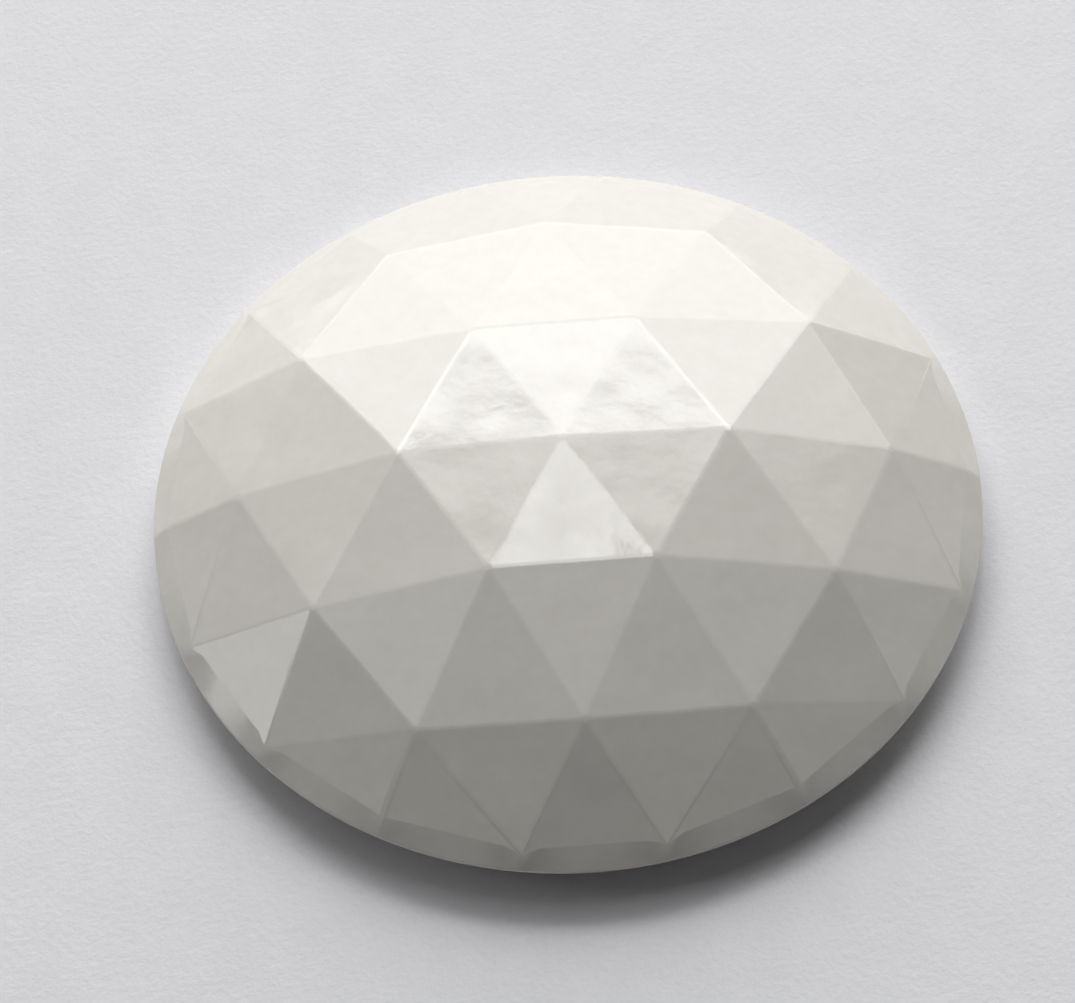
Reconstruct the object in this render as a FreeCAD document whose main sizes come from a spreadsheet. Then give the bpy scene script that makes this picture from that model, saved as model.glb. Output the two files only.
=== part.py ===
# A faceted shank button: a moulded head with a metal shank cup, a wire thread loop and a bed of cement
# set in its back. Millimetres, +Z up. The origin is the centre of the flat back; the facets face +Z.
import FreeCAD, Part
import math
import os
import re

import Sketcher
from FreeCAD import Vector

# Driving dimensions: alias, value, what it is. Heights are measured from the flat back.
driving_dimensions = [
    ("rim_radius", 12.5, "widest circle of the head"),
    ("rim_land_bottom", 1.17, "lower edge of the upright land round the rim"),
    ("rim_land_top", 1.25, "upper edge of that land"),
    ("rim_round", 0.08, "rounding of both edges of the land"),
    ("back_radius", 11.5, "flat back, smaller than the rim, so that the rim is undercut"),
    ("back_round", 0.3, "rounding of the edge of the flat back"),
    ("apex_height", 5.15, "point where the six centre facets meet"),
    ("inner_ring_radius", 4.9, "first ring, six facet corners"),
    ("inner_ring_height", 4.95, "height of the first ring"),
    ("outer_corner_radius", 9.8, "second ring, the six corners in line with the first ring's"),
    ("outer_corner_height", 3.17, "height of those six"),
    ("outer_middle_radius", 8.87, "second ring, the six corners between them"),
    ("outer_middle_height", 3.75, "height of those six"),
    ("base_ring_radius", 12.1, "third ring, eighteen corners, where the facets end at the rim"),
    ("base_ring_height", 1.7, "height of the third ring"),
    ("crown_sink", 0.6, "how far the faceted crown reaches down into the turned blank"),
    ("ledge_margin", 0.04, "the blank's flat top is this much wider than the third ring"),
    ("flange_radius", 7.5, "outer edge of the shank cup"),
    ("flange_recess", 0.1, "how far the cup's flange lies inside the flat back"),
    ("flange_gap", 0.05, "clearance round the flange"),
    ("cup_wall", 0.35, "sheet thickness of the cup"),
    ("cup_lip_radius", 6.7, "where the flange turns into the dish"),
    ("cup_floor_radius", 2.9, "where the dish turns into its flat floor"),
    ("cup_floor_height", 2.5, "open side of the cup's floor"),
    ("cup_bend_round", 0.3, "inner radius of the cup's two bends"),
    ("cement_gap", 0.12, "thickness of the cement behind the cup"),
    ("cement_margin", 0.2, "the cement ends this far inside the flange's edge"),
    ("foot_pocket_radius", 3.6, "pocket in the head for the bent feet of the loop"),
    ("foot_pocket_height", 3.95, "top of that pocket"),
    ("wire_radius", 0.4, "wire of the thread loop"),
    ("eye_half_width", 1.9, "from the centre to the middle of each leg"),
    ("eye_centre_height", 2.4, "centre of the loop's round end"),
    ("foot_bend_radius", 0.55, "middle line of the bend from leg to foot"),
    ("foot_end", 3.1, "from the centre to the end of each foot"),
]
aliases = {alias for alias, value, meaning in driving_dimensions}

# Places that follow from the driving dimensions. Sheet metal and cement keep their thickness round a
# bend of the dish when a corner moves outward by the thickness times the bend shift.
dish_slope = "atan((cup_floor_height - flange_recess) / (cup_lip_radius - cup_floor_radius))"
bend_shift = f"tan({dish_slope} / 2)"
flange_top = "(flange_recess + cup_wall)"
floor_top = "(cup_floor_height + cup_wall)"
cup_lip_outer = f"(cup_lip_radius + cup_wall * {bend_shift})"
cup_floor_outer = f"(cup_floor_radius + cup_wall * {bend_shift})"
recess_flange_height = f"({flange_top} + cement_gap)"
recess_lip_radius = f"(cup_lip_radius + (cup_wall + cement_gap) * {bend_shift})"
recess_floor_radius = f"(cup_floor_radius + (cup_wall + cement_gap) * {bend_shift})"
pocket_mouth_height = (
    f"({floor_top} + cement_gap - (foot_pocket_radius - {recess_floor_radius}) * tan({dish_slope}))"
)
foot_height = f"({floor_top} + foot_bend_radius)"
foot_start = "(eye_half_width + foot_bend_radius)"

doc = FreeCAD.newDocument("faceted_button")
sheet = doc.addObject("Spreadsheet::Sheet", "dimensions")
for row, (alias, value, meaning) in enumerate(driving_dimensions, start=1):
    sheet.set(f"A{row}", alias)
    sheet.set(f"B{row}", str(value))
    sheet.setAlias(f"B{row}", alias)
    sheet.set(f"C{row}", meaning)
doc.recompute()

# A sketch's own numbers: its first point is the origin, and its axes count as elements -1 and -2.
origin_point = (-1, 1)
across_axis = -1
upright_axis = -2
start_end, far_end, centre_point = 1, 2, 3


def bound(formula):
    """The formula as an expression, with every alias pointing at its cell."""
    return re.sub(r"[a-z_]+", lambda word: f"dimensions.{word[0]}" if word[0] in aliases else word[0], formula)


def worked_out(formula):
    """The formula's value now, in millimetres."""
    return float(sheet.evalExpression(bound(formula)))


def place_of(across, up):
    return Vector(worked_out(across), worked_out(up), 0)


def new_sketch(body, name, plane):
    """An empty sketch on one of the body's own origin planes."""
    sketch = body.newObject("Sketcher::SketchObject", name)
    support = next(item for item in body.Origin.OriginFeatures if item.Role == plane)
    sketch.AttachmentSupport = [(support, "")]
    sketch.MapMode = "FlatFace"
    return sketch


def drive(sketch, constraint, formula):
    """Adds a constraint with a size, bound to the spreadsheet."""
    number = sketch.addConstraint(constraint)
    sketch.setExpression(f"Constraints[{number}]", bound(formula))


def pin(sketch, element, end, across, up):
    """Holds one point of a sketch at two formulas, or on an axis where a formula is 0."""
    for kind, axis, formula in (("DistanceX", upright_axis, across), ("DistanceY", across_axis, up)):
        if formula == "0":
            sketch.addConstraint(Sketcher.Constraint("PointOnObject", element, end, axis))
        else:
            size = worked_out(formula)
            drive(sketch, Sketcher.Constraint(kind, *origin_point, element, end, size), formula)


def closed_outline(sketch, corners):
    """Straight lines from corner to corner and back to the first."""
    places = [place_of(*corner) for corner in corners]
    for number, place in enumerate(places):
        sketch.addGeometry(Part.LineSegment(place, places[(number + 1) % len(places)]))
    for number, corner in enumerate(corners):
        before = (number - 1) % len(corners)
        sketch.addConstraint(Sketcher.Constraint("Coincident", before, far_end, number, start_end))
        pin(sketch, number, start_end, *corner)


def turned_body(name, corners):
    """A body turned about Z from an outline of (radius, height) corners."""
    body = doc.addObject("PartDesign::Body", name)
    outline = new_sketch(body, f"{name}_outline", "XZ_Plane")
    closed_outline(outline, corners)
    turned = body.newObject("PartDesign::Revolution", f"{name}_turned")
    turned.Profile = outline
    turned.ReferenceAxis = (outline, ["V_Axis"])
    turned.Angle = 360
    doc.recompute()
    return body


def round_rings(body, name, rings, radius):
    """Rounds the circular edges of a turned body that lie at these (radius, height) places."""
    base = body.Tip
    places = [place_of(*ring) for ring in rings]
    picked = []
    for number, edge in enumerate(base.Shape.Edges, start=1):
        curve = edge.Curve
        if isinstance(curve, Part.Circle):
            here = Vector(curve.Radius, curve.Center.z, 0)
            if any(here.distanceToPoint(place) < 0.001 for place in places):
                picked.append(f"Edge{number}")
    fillet = body.newObject("PartDesign::Fillet", name)
    fillet.Base = (base, picked)
    fillet.setExpression("Radius", bound(radius))
    doc.recompute()


def labelled(kind, label, **links):
    """A boolean or other Part object with its own label."""
    made = doc.addObject(kind, label)
    made.Label = label
    for link, target in links.items():
        setattr(made, link, target)
    doc.recompute()
    return made


def around(radius, height, count, first=0, every=1):
    """Corners at equal angles about Z, starting on +X: numbers first, first + every and so on of count."""
    r, z = worked_out(radius), worked_out(height)
    turns = [2 * math.pi * number / count for number in range(first, count, every)]
    return [Vector(r * math.cos(turn), r * math.sin(turn), z) for turn in turns]


def crown_shape():
    """The faceted crown: 54 triangles in six equal sectors, on an eighteen-sided plinth."""
    sectors = 6
    apex = Vector(0, 0, worked_out("apex_height"))
    inner = around("inner_ring_radius", "inner_ring_height", sectors)
    corners = around("outer_corner_radius", "outer_corner_height", 2 * sectors, every=2)
    middles = around("outer_middle_radius", "outer_middle_height", 2 * sectors, first=1, every=2)
    base = around("base_ring_radius", "base_ring_height", 3 * sectors)
    sunk = [corner - Vector(0, 0, worked_out("crown_sink")) for corner in base]
    outlines = [list(reversed(sunk))]
    for sector in range(sectors):
        after = (sector + 1) % sectors
        inner_a, inner_b = inner[sector], inner[after]
        corner_a, corner_b = corners[sector], corners[after]
        middle = middles[sector]
        base_a, base_b, base_c, base_d = (base[(3 * sector + step) % len(base)] for step in range(4))
        outlines += [
            [apex, inner_a, inner_b],
            [inner_a, middle, inner_b],
            [inner_a, corner_a, middle],
            [inner_b, middle, corner_b],
            [corner_a, base_a, base_b],
            [corner_a, base_b, middle],
            [middle, base_b, base_c],
            [middle, base_c, corner_b],
            [corner_b, base_c, base_d],
        ]
    for number, corner in enumerate(base):
        after = (number + 1) % len(base)
        outlines.append([corner, sunk[number], sunk[after], base[after]])
    faces = [Part.Face(Part.makePolygon(outline + outline[:1])) for outline in outlines]
    return Part.Solid(Part.Shell(faces))


def make_head():
    """The moulded head: a turned blank with a rounded, undercut rim, the crown, and the back's recess."""
    blank = turned_body("head_blank", [
        ("0", "0"),
        ("back_radius", "0"),
        ("rim_radius", "rim_land_bottom"),
        ("rim_radius", "rim_land_top"),
        ("base_ring_radius + ledge_margin", "base_ring_height"),
        ("0", "base_ring_height"),
    ])
    rim_edges = [("rim_radius", "rim_land_bottom"), ("rim_radius", "rim_land_top")]
    round_rings(blank, "rim_rounding", rim_edges, "rim_round")
    round_rings(blank, "back_rounding", [("back_radius", "0")], "back_round")
    crown = doc.addObject("Part::Feature", "crown")
    crown.Shape = crown_shape()
    moulding = labelled("Part::Fuse", "moulding", Base=blank, Tool=crown)
    recess = turned_body("back_recess", [
        ("0", "0"),
        ("flange_radius + flange_gap", "0"),
        ("flange_radius + flange_gap", recess_flange_height),
        (recess_lip_radius, recess_flange_height),
        ("foot_pocket_radius", pocket_mouth_height),
        ("foot_pocket_radius", "foot_pocket_height"),
        ("0", "foot_pocket_height"),
    ])
    return labelled("Part::Cut", "faceted_head", Base=moulding, Tool=recess)


def make_cup():
    """The stamped dish: a flange, a sloping wall and a floor with two holes that grip the loop's legs."""
    cup = turned_body("shank_cup", [
        ("0", "cup_floor_height"),
        ("cup_floor_radius", "cup_floor_height"),
        ("cup_lip_radius", "flange_recess"),
        ("flange_radius", "flange_recess"),
        ("flange_radius", flange_top),
        (cup_lip_outer, flange_top),
        (cup_floor_outer, floor_top),
        ("0", floor_top),
    ])
    hollow_bends = [("cup_floor_radius", "cup_floor_height"), (cup_lip_outer, flange_top)]
    proud_bends = [("cup_lip_radius", "flange_recess"), (cup_floor_outer, floor_top)]
    round_rings(cup, "hollow_bends", hollow_bends, "cup_bend_round")
    round_rings(cup, "proud_bends", proud_bends, "cup_bend_round + cup_wall")
    holes = new_sketch(cup, "leg_holes_sketch", "XY_Plane")
    reach, bore = worked_out("eye_half_width"), worked_out("wire_radius")
    for number, side in enumerate((1, -1)):
        holes.addGeometry(Part.Circle(Vector(side * reach, 0, 0), Vector(0, 0, 1), bore))
        drive(holes, Sketcher.Constraint("Radius", number, bore), "wire_radius")
    pin(holes, 0, centre_point, "eye_half_width", "0")
    mirrored = (0, centre_point, 1, centre_point)
    holes.addConstraint(Sketcher.Constraint("Symmetric", *mirrored, *origin_point))
    pocket = cup.newObject("PartDesign::Pocket", "leg_holes")
    pocket.Profile = holes
    pocket.Type = "ThroughAll"
    pocket.Reversed = True
    doc.recompute()
    return cup


def make_loop():
    """The wire eye: foot, bend, leg, round end, leg, bend, foot, swept in one piece."""
    loop = doc.addObject("PartDesign::Body", "thread_loop")
    path = new_sketch(loop, "loop_path", "XZ_Plane")
    foot_tip = place_of("foot_end", foot_height)
    foot_root = place_of(foot_start, foot_height)
    leg_root = place_of("eye_half_width", floor_top)
    leg_tip = place_of("eye_half_width", "eye_centre_height")
    bend = worked_out("foot_bend_radius")
    bend_centre = leg_root + Vector(bend, 0, 0)
    bend_middle = bend_centre + Vector(-bend, bend, 0) * math.sqrt(0.5)
    crest = Vector(0, leg_tip.y - leg_tip.x, 0)

    def other_side(place):
        return Vector(-place.x, place.y, 0)

    path.addGeometry([
        Part.LineSegment(foot_tip, foot_root),
        Part.Arc(foot_root, bend_middle, leg_root),
        Part.LineSegment(leg_root, leg_tip),
        Part.Arc(leg_tip, crest, other_side(leg_tip)),
        Part.LineSegment(other_side(leg_tip), other_side(leg_root)),
        Part.Arc(other_side(leg_root), other_side(bend_middle), other_side(foot_root)),
        Part.LineSegment(other_side(foot_root), other_side(foot_tip)),
    ])
    pin(path, 0, start_end, "foot_end", foot_height)
    pin(path, 0, far_end, foot_start, foot_height)
    pin(path, 2, start_end, "eye_half_width", floor_top)
    pin(path, 2, far_end, "eye_half_width", "eye_centre_height")
    for right, right_end, left, left_end in ((0, 1, 6, 2), (0, 2, 6, 1), (2, 1, 4, 2), (2, 2, 4, 1)):
        mirrored = (right, right_end, left, left_end)
        path.addConstraint(Sketcher.Constraint("Symmetric", *mirrored, upright_axis))
    for arc in (1, 3, 5):
        line_before, line_after = arc - 1, arc + 1
        joint = path.getPoint(line_before, far_end)
        near = start_end if path.getPoint(arc, start_end).distanceToPoint(joint) < bend / 2 else far_end
        away = far_end if near == start_end else start_end
        path.addConstraint(Sketcher.Constraint("Tangent", line_before, far_end, arc, near))
        path.addConstraint(Sketcher.Constraint("Coincident", arc, away, line_after, start_end))
    section = new_sketch(loop, "loop_section", "YZ_Plane")
    section.setExpression("AttachmentOffset.Base.z", bound("foot_end"))
    gauge = worked_out("wire_radius")
    section.addGeometry(Part.Circle(place_of("0", foot_height), Vector(0, 0, 1), gauge))
    drive(section, Sketcher.Constraint("Radius", 0, gauge), "wire_radius")
    pin(section, 0, centre_point, "0", foot_height)
    wire = loop.newObject("PartDesign::AdditivePipe", "loop_wire")
    wire.Profile = section
    wire.Spine = path
    doc.recompute()
    return loop


def make_cement(cup, loop):
    """The cement between head and cup, and round the loop's feet in their pocket."""
    blank = turned_body("cement_blank", [
        ("0", floor_top),
        (cup_floor_outer, floor_top),
        (cup_lip_outer, flange_top),
        ("flange_radius - cement_margin", flange_top),
        ("flange_radius - cement_margin", recess_flange_height),
        (recess_lip_radius, recess_flange_height),
        ("foot_pocket_radius", pocket_mouth_height),
        ("foot_pocket_radius", "foot_pocket_height"),
        ("0", "foot_pocket_height"),
    ])
    behind_cup = labelled("Part::Cut", "cement_behind_cup", Base=blank, Tool=cup)
    return labelled("Part::Cut", "cement_bed", Base=behind_cup, Tool=loop)


head = make_head()
cup = make_cup()
loop = make_loop()
cement = make_cement(cup, loop)
sub_parts = [head, cup, loop, cement]
doc.recompute()

for item in doc.Objects:
    if "Invalid" in item.State or "Error" in item.State:
        raise RuntimeError(f"{item.Label} did not compute: {item.State}")
for sub_part in sub_parts:
    shape = sub_part.Shape
    if shape.isNull() or not shape.isValid() or len(shape.Solids) != 1:
        raise RuntimeError(f"{sub_part.Label} is not one valid solid")

leg_holes = doc.getObject("leg_holes")
drilled = leg_holes.BaseFeature.Shape.Volume - leg_holes.Shape.Volume
two_holes = 2 * math.pi * worked_out("wire_radius") ** 2 * worked_out("cup_wall")
if abs(drilled - two_holes) > 0.01 * two_holes:
    raise RuntimeError("the leg holes did not go through the floor of the cup")

os.makedirs("parts", exist_ok=True)
for sub_part in sub_parts:
    sub_part.Shape.exportStep(f"parts/{sub_part.Label}.step")
    box = sub_part.Shape.optimalBoundingBox(False)
    size = f"{box.XLength:.2f} x {box.YLength:.2f} x {box.ZLength:.2f} mm"
    print(f"{sub_part.Label}: {size}, {sub_part.Shape.Volume:.1f} mm3")
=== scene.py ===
import math

import bmesh
import bpy
from mathutils import Matrix, Vector


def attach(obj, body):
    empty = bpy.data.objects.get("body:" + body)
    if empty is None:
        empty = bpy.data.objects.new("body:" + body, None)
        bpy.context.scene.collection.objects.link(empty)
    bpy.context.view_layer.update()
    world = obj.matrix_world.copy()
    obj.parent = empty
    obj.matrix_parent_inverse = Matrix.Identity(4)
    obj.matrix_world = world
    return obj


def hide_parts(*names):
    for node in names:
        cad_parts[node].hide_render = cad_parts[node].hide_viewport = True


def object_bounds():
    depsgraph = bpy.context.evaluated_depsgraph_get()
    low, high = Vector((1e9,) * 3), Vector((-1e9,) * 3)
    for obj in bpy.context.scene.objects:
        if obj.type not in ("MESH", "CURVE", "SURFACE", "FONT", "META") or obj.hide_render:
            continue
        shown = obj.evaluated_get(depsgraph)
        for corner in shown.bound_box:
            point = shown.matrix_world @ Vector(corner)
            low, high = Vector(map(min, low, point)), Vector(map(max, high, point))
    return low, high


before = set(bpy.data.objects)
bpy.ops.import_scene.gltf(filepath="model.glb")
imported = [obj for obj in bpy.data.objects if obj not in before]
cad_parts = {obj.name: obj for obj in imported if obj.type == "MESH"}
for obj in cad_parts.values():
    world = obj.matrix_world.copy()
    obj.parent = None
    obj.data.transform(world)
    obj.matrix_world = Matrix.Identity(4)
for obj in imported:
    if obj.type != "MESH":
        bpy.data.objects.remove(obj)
cadLow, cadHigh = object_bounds()
print("frame loaded:", ", ".join(sorted(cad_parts)))

millimetre = 0.001
axisPoint = (0, 0, 0)
wornSlot = 1                             # the head's duller finish, after the polished one


# The pieces are modelled a thousand times too large, so that their sizes read in millimetres.
def startPiece():
    if bpy.context.object and bpy.context.object.mode == "EDIT":
        bpy.ops.object.mode_set(mode="OBJECT")
    bpy.ops.object.select_all(action="DESELECT")


def applyPlace():
    bpy.ops.object.transform_apply(location=True, rotation=True, scale=True)


def enterEdit():
    applyPlace()
    bpy.ops.object.mode_set(mode="EDIT")
    bpy.ops.mesh.select_mode(type="FACE")
    bpy.ops.mesh.select_all(action="SELECT")


def editMesh():
    return bmesh.from_edit_mesh(bpy.context.object.data)


def pick(kind, rule):
    bpy.ops.mesh.select_mode(type=kind)
    bpy.ops.mesh.select_all(action="DESELECT")
    mesh = editMesh()
    for part in mesh.faces if kind == "FACE" else mesh.edges:
        if rule(part):
            part.select_set(True)
    bmesh.update_edit_mesh(bpy.context.object.data)


def isOpen(edge):
    return edge.is_boundary


def pickedCorner():
    return next(corner.co for corner in editMesh().verts if corner.select)


def growRing(radius):
    grow = radius / pickedCorner().xy.length
    bpy.ops.transform.resize(value=(grow, grow, 1), center_override=axisPoint)


def addRing(radius, height):
    # pulls a new ring out of the picked one
    rise = height - pickedCorner().z
    bpy.ops.mesh.extrude_edges_move(TRANSFORM_OT_translate={"value": (0, 0, rise)})
    growRing(radius)


def roundedOutline(corners, steps=5):
    # corners are (radius, height, rounding), and each rounding becomes an arc
    outline = []
    for index, (radius, height, rounding) in enumerate(corners):
        corner = Vector((radius, height))
        if rounding == 0:
            outline.append(corner)
            continue
        before = (Vector(corners[index - 1][:2]) - corner).normalized()
        after = (Vector(corners[index + 1][:2]) - corner).normalized()
        halfAngle = before.angle(after) / 2
        reach = rounding / math.tan(halfAngle)
        centre = corner + (before + after).normalized() * rounding / math.sin(halfAngle)
        start = corner + before * reach - centre
        end = corner + after * reach - centre
        turn = start.angle_signed(end)
        for step in range(steps + 1):
            arm = start.copy()
            arm.rotate(Matrix.Rotation(-turn * step / steps, 2))
            outline.append(centre + arm)
    return outline


def leaveEdit(smoothAngle):
    bpy.ops.mesh.select_all(action="SELECT")
    bpy.ops.mesh.normals_make_consistent(inside=False)
    bpy.ops.object.mode_set(mode="OBJECT")
    bpy.ops.object.shade_smooth_by_angle(angle=math.radians(smoothAngle))


def runModifier(kind, **settings):
    piece = bpy.context.object
    modifier = piece.modifiers.new(kind.title(), kind)
    for name, value in settings.items():
        setattr(modifier, name, value)
    bpy.ops.object.modifier_apply(modifier=modifier.name)


def finishPiece(name, node):
    # brings the piece to its real size, with its place in its mesh, and hangs it on the frame
    piece = bpy.context.object
    piece.name = name
    piece.data.name = name
    piece.scale = (millimetre,) * 3
    applyPlace()
    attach(piece, "root")
    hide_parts(node)
    print(name, "made:", len(piece.data.polygons), "faces")
    return piece


head = {
    "sectors": 6,
    "apexHeight": 5.15,
    "innerRing": (4.9, 4.95),            # radius and height of the six corners round the middle
    "outerCorners": (9.8, 3.17),         # six corners in line with those
    "outerMiddles": (8.87, 3.75),        # and six between them
    "baseRing": (12.1, 1.7),             # eighteen corners where the facets end
    # down the rim, under the back and up into the recess: radius, height, rounding
    "side": [
        (12.5, 1.25, 0.09),
        (12.5, 1.17, 0.06),
        (11.5, 0, 0.3),
        (7.55, 0, 0.06),
        (7.55, 0.57, 0),
        (6.836, 0.57, 0),
        (3.6, 2.614, 0),
        (3.6, 3.95, 0),
    ],
    "edgeSoftness": 0.08,
    "edgeSteps": 3,
    "facetBorder": 0.06,                 # keeps the middle of every facet flat to its corners
    "polishedRadius": 12.12,             # outside this the rim is worn
    "stepsPerFacet": 8,
    "smoothAngle": 50,
    "cutTolerance": 1e-5,
    "mergeDistance": 0.003,
}


def cornersAround(place, count, first=0, every=1):
    radius, height = place
    turns = [2 * math.pi * number / count for number in range(first, count, every)]
    return [Vector((radius * math.cos(turn), radius * math.sin(turn), height)) for turn in turns]


def facetCorners():
    sectors = head["sectors"]
    apex = Vector((0, 0, head["apexHeight"]))
    inner = cornersAround(head["innerRing"], sectors)
    corners = cornersAround(head["outerCorners"], 2 * sectors, every=2)
    middles = cornersAround(head["outerMiddles"], 2 * sectors, first=1, every=2)
    base = cornersAround(head["baseRing"], 3 * sectors)
    facets = []
    for sector, middle in enumerate(middles):
        after = (sector + 1) % sectors
        first, second, third, fourth = (base[(3 * sector + step) % len(base)] for step in range(4))
        facets += [
            (apex, inner[sector], inner[after]),
            (inner[sector], middle, inner[after]),
            (inner[sector], corners[sector], middle),
            (inner[after], middle, corners[after]),
            (corners[sector], first, second),
            (corners[sector], second, middle),
            (middle, second, third),
            (middle, third, corners[after]),
            (corners[after], third, fourth),
        ]
    return facets


def cutFacet(first, second, third):
    normal = (second - first).cross(third - first).normalized()
    if normal.z < 0:
        normal.negate()
    bpy.ops.mesh.select_all(action="SELECT")
    bpy.ops.mesh.bisect(
        plane_co=first, plane_no=normal, use_fill=True, clear_outer=True,
        threshold=head["cutTolerance"],
    )


def cutCrown():
    # a prism is cut by the plane of every facet, and only the facets are kept
    baseRadius = head["baseRing"][0]
    sides = 3 * head["sectors"]
    depth = head["apexHeight"] + 1       # taller than the crown, so that every facet cuts it
    bpy.ops.mesh.primitive_cylinder_add(
        vertices=sides, radius=baseRadius, depth=depth, location=(0, 0, depth / 2),
        rotation=(0, 0, math.pi / sides),
    )
    enterEdit()
    for facet in facetCorners():
        cutFacet(*facet)
    bpy.ops.mesh.select_all(action="SELECT")
    bpy.ops.mesh.remove_doubles(threshold=head["mergeDistance"])
    pick("FACE", lambda face: face.normal.z < 0.5)       # the prism's sides and bottom
    bpy.ops.mesh.delete(type="FACE")
    print("facets cut:", len(editMesh().faces))


def softenFacets():
    pick("EDGE", isOpen)
    bpy.ops.mesh.subdivide(number_cuts=head["stepsPerFacet"] - 1)
    pick("EDGE", lambda edge: not isOpen(edge))
    bpy.ops.mesh.bevel(
        offset=head["edgeSoftness"], segments=head["edgeSteps"], affect="EDGES", material=wornSlot
    )
    pick("FACE", lambda face: face.calc_area() > 1)      # the facets, not the softened edges
    bpy.ops.mesh.inset(thickness=head["facetBorder"], use_individual=True)


def turnSide():
    # the facets' straight ends meet a round shoulder, and rings carry on from there
    baseHeight = head["baseRing"][1]
    shoulder, *below = roundedOutline([(*head["baseRing"], 0), *head["side"]])[1:]
    pick("EDGE", isOpen)
    drop = {"value": (0, 0, shoulder.y - baseHeight)}
    bpy.ops.mesh.extrude_edges_move(TRANSFORM_OT_translate=drop)
    bpy.ops.transform.resize(value=(1, 1, 0), center_override=(0, 0, shoulder.y))
    bpy.ops.transform.tosphere(value=1)
    growRing(shoulder.x)
    for ring in below:
        addRing(*ring)
    bpy.ops.mesh.edge_face_add()


def makeHead():
    startPiece()
    cutCrown()
    softenFacets()
    turnSide()
    leaveEdit(head["smoothAngle"])
    runModifier("WEIGHTED_NORMAL", mode="FACE_AREA", weight=50, keep_sharp=True)
    for face in bpy.context.object.data.polygons:
        if face.center.xy.length > head["polishedRadius"]:
            face.material_index = wornSlot
    return finishPiece("facetedHead", "faceted_head")


loop = {
    "wireRadius": 0.4,
    "legPlace": 1.9,                     # from the middle to each leg
    "crownCentre": 2.4,
    "footHeight": 3.4,
    "footBend": 0.55,
    "footEnd": 3.1,
    "wireSides": 28,
    "bendSteps": 8,
    "crownSteps": 32,
    "smoothAngle": 40,
    "mergeDistance": 0.001,
}


def makeLoop():
    # one wire end is drawn along foot, bend, leg, round crown, leg, bend and foot
    startPiece()
    bend = loop["footBend"]
    footLength = loop["footEnd"] - loop["legPlace"] - bend
    legLength = loop["footHeight"] - bend - loop["crownCentre"]
    rightBend = (loop["legPlace"] + bend, 0, loop["footHeight"] - bend)
    leftBend = (-rightBend[0], 0, rightBend[2])
    crown = (0, 0, loop["crownCentre"])
    bpy.ops.mesh.primitive_circle_add(
        vertices=loop["wireSides"], radius=loop["wireRadius"], fill_type="NGON",
        location=(loop["footEnd"], 0, loop["footHeight"]), rotation=(0, math.pi / 2, 0),
    )
    enterEdit()
    drawWire(-footLength, 0)
    bendWire(rightBend, math.pi / 2, loop["bendSteps"])
    drawWire(0, -legLength)
    bendWire(crown, -math.pi, loop["crownSteps"])
    drawWire(0, legLength)
    bendWire(leftBend, math.pi / 2, loop["bendSteps"])
    drawWire(-footLength, 0)
    bpy.ops.mesh.select_all(action="SELECT")
    bpy.ops.mesh.remove_doubles(threshold=loop["mergeDistance"])
    leaveEdit(loop["smoothAngle"])
    return finishPiece("threadLoop", "thread_loop")


def drawWire(across, up):
    bpy.ops.mesh.extrude_region_move(TRANSFORM_OT_translate={"value": (across, 0, up)})


def bendWire(centre, angle, steps):
    bpy.ops.mesh.spin(steps=steps, angle=angle, center=centre, axis=(0, 1, 0))


cup = {
    # from the middle of the side in the cement, round the flange, to the middle of the open side
    "outline": [
        (0, 2.85, 0),
        (3.001, 2.85, 0.65),
        (6.801, 0.45, 0.3),
        (7.5, 0.45, 0.05),
        (7.5, 0.1, 0.05),
        (6.7, 0.1, 0.65),
        (2.9, 2.5, 0.3),
        (0, 2.5, 0),
    ],
    "legHoleRadius": 0.45,
    "legHoleSides": 32,
    "drillLength": 2,
    "steps": 128,
    "smoothAngle": 25,
}


def makeCup():
    startPiece()
    first, *rest = roundedOutline(cup["outline"])[1:-1]
    bpy.ops.mesh.primitive_circle_add(
        vertices=cup["steps"], radius=first.x, fill_type="NGON", location=(0, 0, first.y)
    )
    enterEdit()
    pick("EDGE", isOpen)
    for ring in rest:
        addRing(*ring)
    bpy.ops.mesh.edge_face_add()
    leaveEdit(cup["smoothAngle"])
    piece = bpy.context.object
    for side in (1, -1):
        drillLegHole(piece, side * loop["legPlace"], first.y)
    startPiece()
    piece.select_set(True)
    bpy.ops.object.shade_smooth_by_angle(angle=math.radians(cup["smoothAngle"]))
    return finishPiece("shankCup", "shank_cup")


def drillLegHole(piece, across, height):
    bpy.ops.mesh.primitive_cylinder_add(
        vertices=cup["legHoleSides"], radius=cup["legHoleRadius"], depth=cup["drillLength"],
        location=(across, 0, height),
    )
    drill = bpy.context.object
    bpy.context.view_layer.objects.active = piece
    runModifier("BOOLEAN", operation="DIFFERENCE", object=drill)
    bpy.data.objects.remove(drill)


whiteHead = makeHead()
shankCup = makeCup()
threadLoop = makeLoop()


# The finishes. Their patterns read object coordinates, brought to millimetres.
def newFinish(name, **sockets):
    finish = bpy.data.materials.new(name)
    finish.use_nodes = True
    shader = finish.node_tree.nodes["Principled BSDF"]
    for socket, value in sockets.items():
        shader.inputs[socket].default_value = value
    return finish, shader


def addNode(finish, kind, settings=None, **values):
    node = finish.node_tree.nodes.new(kind)
    for name, value in (settings or {}).items():
        setattr(node, name, value)
    for socket, value in values.items():
        node.inputs[socket.replace("_", " ")].default_value = value
    return node


def join(finish, source, target):
    finish.node_tree.links.new(source, target)


def inMillimetres(finish, stretch=(1, 1, 1)):
    place = addNode(finish, "ShaderNodeTexCoord")
    scaled = addNode(finish, "ShaderNodeMapping", Scale=[share / millimetre for share in stretch])
    join(finish, place.outputs["Object"], scaled.inputs["Vector"])
    return scaled.outputs["Vector"]


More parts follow.
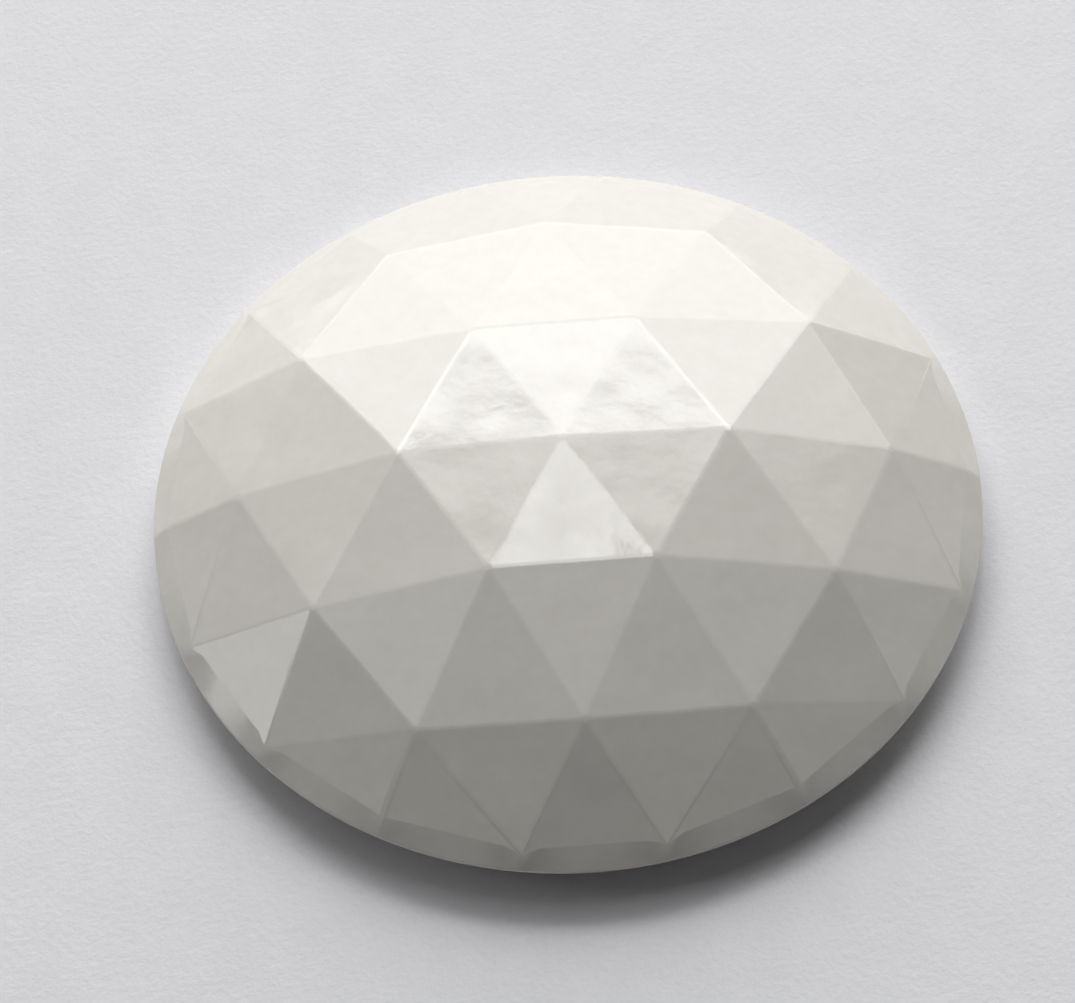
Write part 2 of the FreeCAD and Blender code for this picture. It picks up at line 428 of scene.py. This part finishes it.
def grain(finish, place, size, detail=3, roughness=0.5):
    # a noise whose lumps are about this many millimetres across
    noise = addNode(finish, "ShaderNodeTexNoise", Scale=1 / size, Detail=detail, Roughness=roughness)
    join(finish, place, noise.inputs["Vector"])
    return noise.outputs["Fac"]


def between(finish, amount, low, high, fromLow=0.3, fromHigh=0.7):
    spread = addNode(
        finish, "ShaderNodeMapRange", From_Min=fromLow, From_Max=fromHigh, To_Min=low, To_Max=high
    )
    join(finish, amount, spread.inputs["Value"])
    return spread.outputs["Result"]


def addUp(finish, first, second):
    both = addNode(finish, "ShaderNodeMath", {"operation": "ADD"})
    join(finish, first, both.inputs[0])
    join(finish, second, both.inputs[1])
    return both.outputs["Value"]


def mixColours(finish, amount, first, second):
    # a Mix node has its colours on sockets 6 and 7 and gives the result on socket 2
    mix = addNode(finish, "ShaderNodeMix", {"data_type": "RGBA"})
    mix.inputs[6].default_value = (*first, 1)
    mix.inputs[7].default_value = (*second, 1)
    join(finish, amount, mix.inputs[0])
    return mix.outputs[2]


def lift(finish, amount, height, under=None):
    # shades the surface as if the pattern stood this many millimetres proud
    bump = addNode(finish, "ShaderNodeBump", Distance=height * millimetre)
    join(finish, amount, bump.inputs["Height"])
    if under is not None:
        join(finish, under, bump.inputs["Normal"])
    return bump.outputs["Normal"]


whiteMoulding = {
    "refraction": 1.58,
    "paleColour": (0.765, 0.745, 0.70),
    "deepColour": (0.735, 0.715, 0.665),
    "mottleSize": 0.45,
    "polishedGloss": (0.10, 0.17),
    "wornGloss": (0.34, 0.52),
    "glossPatchSize": 1.2,
    "waveSize": 2.6,                     # long waves of the polish
    "waveHeight": 0.045,
    "peelSize": 0.35,                    # fine unevenness
    "peelHeight": 0.004,
}


def makeWhiteFinish(name, glossRange):
    # the finish of the head, polished on the facets and duller where it is worn
    finish, shader = newFinish(name, IOR=whiteMoulding["refraction"])
    place = inMillimetres(finish)
    mottle = between(finish, grain(finish, place, whiteMoulding["mottleSize"]), 0, 1)
    colour = mixColours(finish, mottle, whiteMoulding["paleColour"], whiteMoulding["deepColour"])
    join(finish, colour, shader.inputs["Base Color"])
    patches = between(finish, grain(finish, place, whiteMoulding["glossPatchSize"]), *glossRange)
    join(finish, patches, shader.inputs["Roughness"])
    waveGrain = grain(finish, place, whiteMoulding["waveSize"], detail=1)
    waves = lift(finish, waveGrain, whiteMoulding["waveHeight"])
    peelGrain = grain(finish, place, whiteMoulding["peelSize"], detail=2)
    peel = lift(finish, peelGrain, whiteMoulding["peelHeight"], waves)
    join(finish, peel, shader.inputs["Normal"])
    return finish


platedMetal = {
    "sheetColours": ((0.68, 0.66, 0.62), (0.56, 0.54, 0.50)),
    "sheetGloss": (0.22, 0.42),
    "turnedMarkSize": 0.06,
    "turnedMarkHeight": 0.004,
    "stainSize": 1.1,
    "wireColours": ((0.70, 0.68, 0.64), (0.60, 0.58, 0.54)),
    "wireGloss": (0.2, 0.36),
    "drawnMarkSize": 0.05,
    "drawnMarkHeight": 0.003,
    "drawnMarkStretch": (0.12, 1, 1),
}


def distanceFromAxis(finish, place):
    split = addNode(finish, "ShaderNodeSeparateXYZ")
    join(finish, place, split.inputs["Vector"])
    flat = addNode(finish, "ShaderNodeCombineXYZ")
    join(finish, split.outputs["X"], flat.inputs["X"])
    join(finish, split.outputs["Y"], flat.inputs["Y"])
    away = addNode(finish, "ShaderNodeVectorMath", {"operation": "LENGTH"})
    join(finish, flat.outputs["Vector"], away.inputs[0])
    return away.outputs["Value"]


def makePlatedSheet():
    # fine rings from the turning and faint stains
    finish, shader = newFinish("platedSheet", Metallic=1.0)
    place = inMillimetres(finish)
    rings = addNode(finish, "ShaderNodeCombineXYZ")
    join(finish, distanceFromAxis(finish, place), rings.inputs["X"])
    marks = grain(finish, rings.outputs["Vector"], platedMetal["turnedMarkSize"], detail=2)
    stains = between(finish, grain(finish, place, platedMetal["stainSize"]), 0, 1)
    join(finish, mixColours(finish, stains, *platedMetal["sheetColours"]), shader.inputs["Base Color"])
    join(finish, between(finish, marks, *platedMetal["sheetGloss"]), shader.inputs["Roughness"])
    join(finish, lift(finish, marks, platedMetal["turnedMarkHeight"]), shader.inputs["Normal"])
    return finish


def makePlatedWire():
    finish, shader = newFinish("platedWire", Metallic=1.0)
    place = inMillimetres(finish, platedMetal["drawnMarkStretch"])
    marks = grain(finish, place, platedMetal["drawnMarkSize"], detail=2)
    shades = between(finish, marks, 0, 1)
    join(finish, mixColours(finish, shades, *platedMetal["wireColours"]), shader.inputs["Base Color"])
    join(finish, between(finish, marks, *platedMetal["wireGloss"]), shader.inputs["Roughness"])
    join(finish, lift(finish, marks, platedMetal["drawnMarkHeight"]), shader.inputs["Normal"])
    return finish


cement = {
    "colours": ((0.70, 0.62, 0.46), (0.58, 0.50, 0.36)),
    "gloss": (0.6, 0.85),
    "lumpSize": 0.15,
    "lumpHeight": 0.02,
}


def makeCement():
    finish, shader = newFinish("grainyCement")
    lumps = grain(finish, inMillimetres(finish), cement["lumpSize"], detail=4)
    shades = between(finish, lumps, 0, 1)
    join(finish, mixColours(finish, shades, *cement["colours"]), shader.inputs["Base Color"])
    join(finish, between(finish, lumps, *cement["gloss"]), shader.inputs["Roughness"])
    join(finish, lift(finish, lumps, cement["lumpHeight"]), shader.inputs["Normal"])
    return finish


def dress(piece, *finishes):
    piece.data.materials.clear()
    for finish in finishes:
        piece.data.materials.append(finish)


polishedWhite = makeWhiteFinish("polishedWhite", whiteMoulding["polishedGloss"])
wornWhite = makeWhiteFinish("wornWhite", whiteMoulding["wornGloss"])
dress(whiteHead, polishedWhite, wornWhite)
dress(shankCup, makePlatedSheet())
dress(threadLoop, makePlatedWire())
dress(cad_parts["cement_bed"], makeCement())
print("finishes made")

paper = {
    "size": 1.2,                         # metres; the rest is in millimetres
    "drop": 0.02,                        # from the button's back down to the sheet
    "deepColour": (0.81, 0.81, 0.848),
    "paleColour": (0.85, 0.85, 0.885),
    "dullness": 0.9,
    "fibreSize": 0.22,
    "cloudSize": 1.4,
    "fibreHeight": 0.02,
}


def makePaper():
    startPiece()
    bpy.ops.mesh.primitive_plane_add(size=paper["size"], location=(0, 0, -paper["drop"] * millimetre))
    applyPlace()
    sheet = bpy.context.object
    sheet.name = "paperFloor"
    finish, shader = newFinish("paper", Roughness=paper["dullness"])
    place = inMillimetres(finish)
    fibres = grain(finish, place, paper["fibreSize"], detail=4, roughness=0.65)
    clouds = grain(finish, place, paper["cloudSize"])
    tone = between(finish, addUp(finish, fibres, clouds), 0, 1, fromLow=0.7, fromHigh=1.3)
    colour = mixColours(finish, tone, paper["deepColour"], paper["paleColour"])
    join(finish, colour, shader.inputs["Base Color"])
    join(finish, lift(finish, fibres, paper["fibreHeight"]), shader.inputs["Normal"])
    dress(sheet, finish)
    print("paper laid")


makePaper()

room = {
    "colour": (0.95, 0.97, 1.0),
    "strength": 0.02,
    "windowDistance": 0.6,
    "windowColour": (1.0, 0.995, 0.98),
}
# Each is a bright patch as the button sees it: azimuths run from +X towards +Y, in degrees.
windows = [
    {"name": "lowPane", "azimuths": (54, 120), "elevations": (2, 22), "brightness": 2.65},
    {"name": "middlePane", "azimuths": (54, 120), "elevations": (22, 42), "brightness": 3.8},
    {"name": "topPane", "azimuths": (54, 120), "elevations": (42, 54), "brightness": 7.4},
    {"name": "rightPane", "azimuths": (40, 54), "elevations": (22, 42), "brightness": 1.6},
    {"name": "leftPane", "azimuths": (120, 134), "elevations": (2, 42), "brightness": 0.6},
    {"name": "transom", "azimuths": (45, 135), "elevations": (55, 60), "brightness": 2.3},
    {"name": "roofLight", "azimuths": (84, 96), "elevations": (60, 69), "brightness": 6.0},
    {"name": "ceilingBack", "azimuths": (75, 105), "elevations": (70, 82), "brightness": 4.0},
    {"name": "ceilingLeft", "azimuths": (105, 190), "elevations": (60, 75), "brightness": 0.85},
    {"name": "ceilingRight", "azimuths": (-10, 75), "elevations": (60, 75), "brightness": 0.25},
    {"name": "leftGlow", "azimuths": (138, 165), "elevations": (42, 56), "brightness": 0.7},
    {"name": "leftLamp", "azimuths": (170, 184), "elevations": (22, 38), "brightness": 2.6},
]


def towards(azimuth, elevation):
    turn, rise = math.radians(azimuth), math.radians(elevation)
    return Vector((math.cos(turn) * math.cos(rise), math.sin(turn) * math.cos(rise), math.sin(rise)))


def hangWindow(name, azimuths, elevations, brightness):
    azimuth, elevation = sum(azimuths) / 2, sum(elevations) / 2
    breadth, rise = (math.radians(end - start) for start, end in (azimuths, elevations))
    distance = room["windowDistance"]
    light = bpy.data.lights.new(name, "AREA")
    light.shape = "RECTANGLE"
    light.size = 2 * distance * math.tan(breadth / 2) * math.cos(math.radians(elevation))
    light.size_y = 2 * distance * math.tan(rise / 2)
    light.energy = brightness * math.pi * light.size * light.size_y     # the same glow at any size
    light.color = room["windowColour"]
    holder = bpy.data.objects.new(name, light)
    bpy.context.scene.collection.objects.link(holder)
    direction = towards(azimuth, elevation)
    holder.location = direction * distance
    holder.rotation_euler = direction.to_track_quat("Z", "Y").to_euler()


def lightRoom():
    for window in windows:
        hangWindow(**window)
    world = bpy.data.worlds.new("room")
    world.use_nodes = True
    background = world.node_tree.nodes["Background"]
    background.inputs["Color"].default_value = (*room["colour"], 1)
    background.inputs["Strength"].default_value = room["strength"]
    bpy.context.scene.world = world
    bpy.context.scene.view_settings.view_transform = "Standard"
    print("windows hung:", len(windows))


lightRoom()

view = {
    "azimuth": -90.9,                    # from the button to the camera
    "elevation": 57.0,
    "distanceInRadii": 11.5,
    "lens": 159.6,
    "sensor": 36.0,
    "clipStart": 0.01,
    "roll": -4.0,
    "rimHeight": 1.35,
    "aimRight": -0.88,                   # the view's middle lies this far from the middle of the rim
    "aimUp": 0.18,
}


def placeCamera():
    lens = bpy.data.cameras.new("buttonCamera")
    lens.lens, lens.sensor_width = view["lens"], view["sensor"]
    lens.clip_start = view["clipStart"]
    camera = bpy.data.objects.new("buttonCamera", lens)
    bpy.context.scene.collection.objects.link(camera)
    radius = (cadHigh.x - cadLow.x) / 2
    aim = Vector((0, 0, view["rimHeight"] * millimetre))
    away = towards(view["azimuth"], view["elevation"])
    camera.location = aim + away * view["distanceInRadii"] * radius
    right = Vector((0, 0, 1)).cross(away).normalized()
    aim += (right * view["aimRight"] + away.cross(right) * view["aimUp"]) * millimetre
    facing = (camera.location - aim).to_track_quat("Z", "Y").to_matrix()
    roll = Matrix.Rotation(math.radians(view["roll"]), 3, "Z")
    camera.rotation_euler = (facing @ roll).to_euler()
    bpy.context.scene.camera = camera
    print("camera placed")


placeCamera()
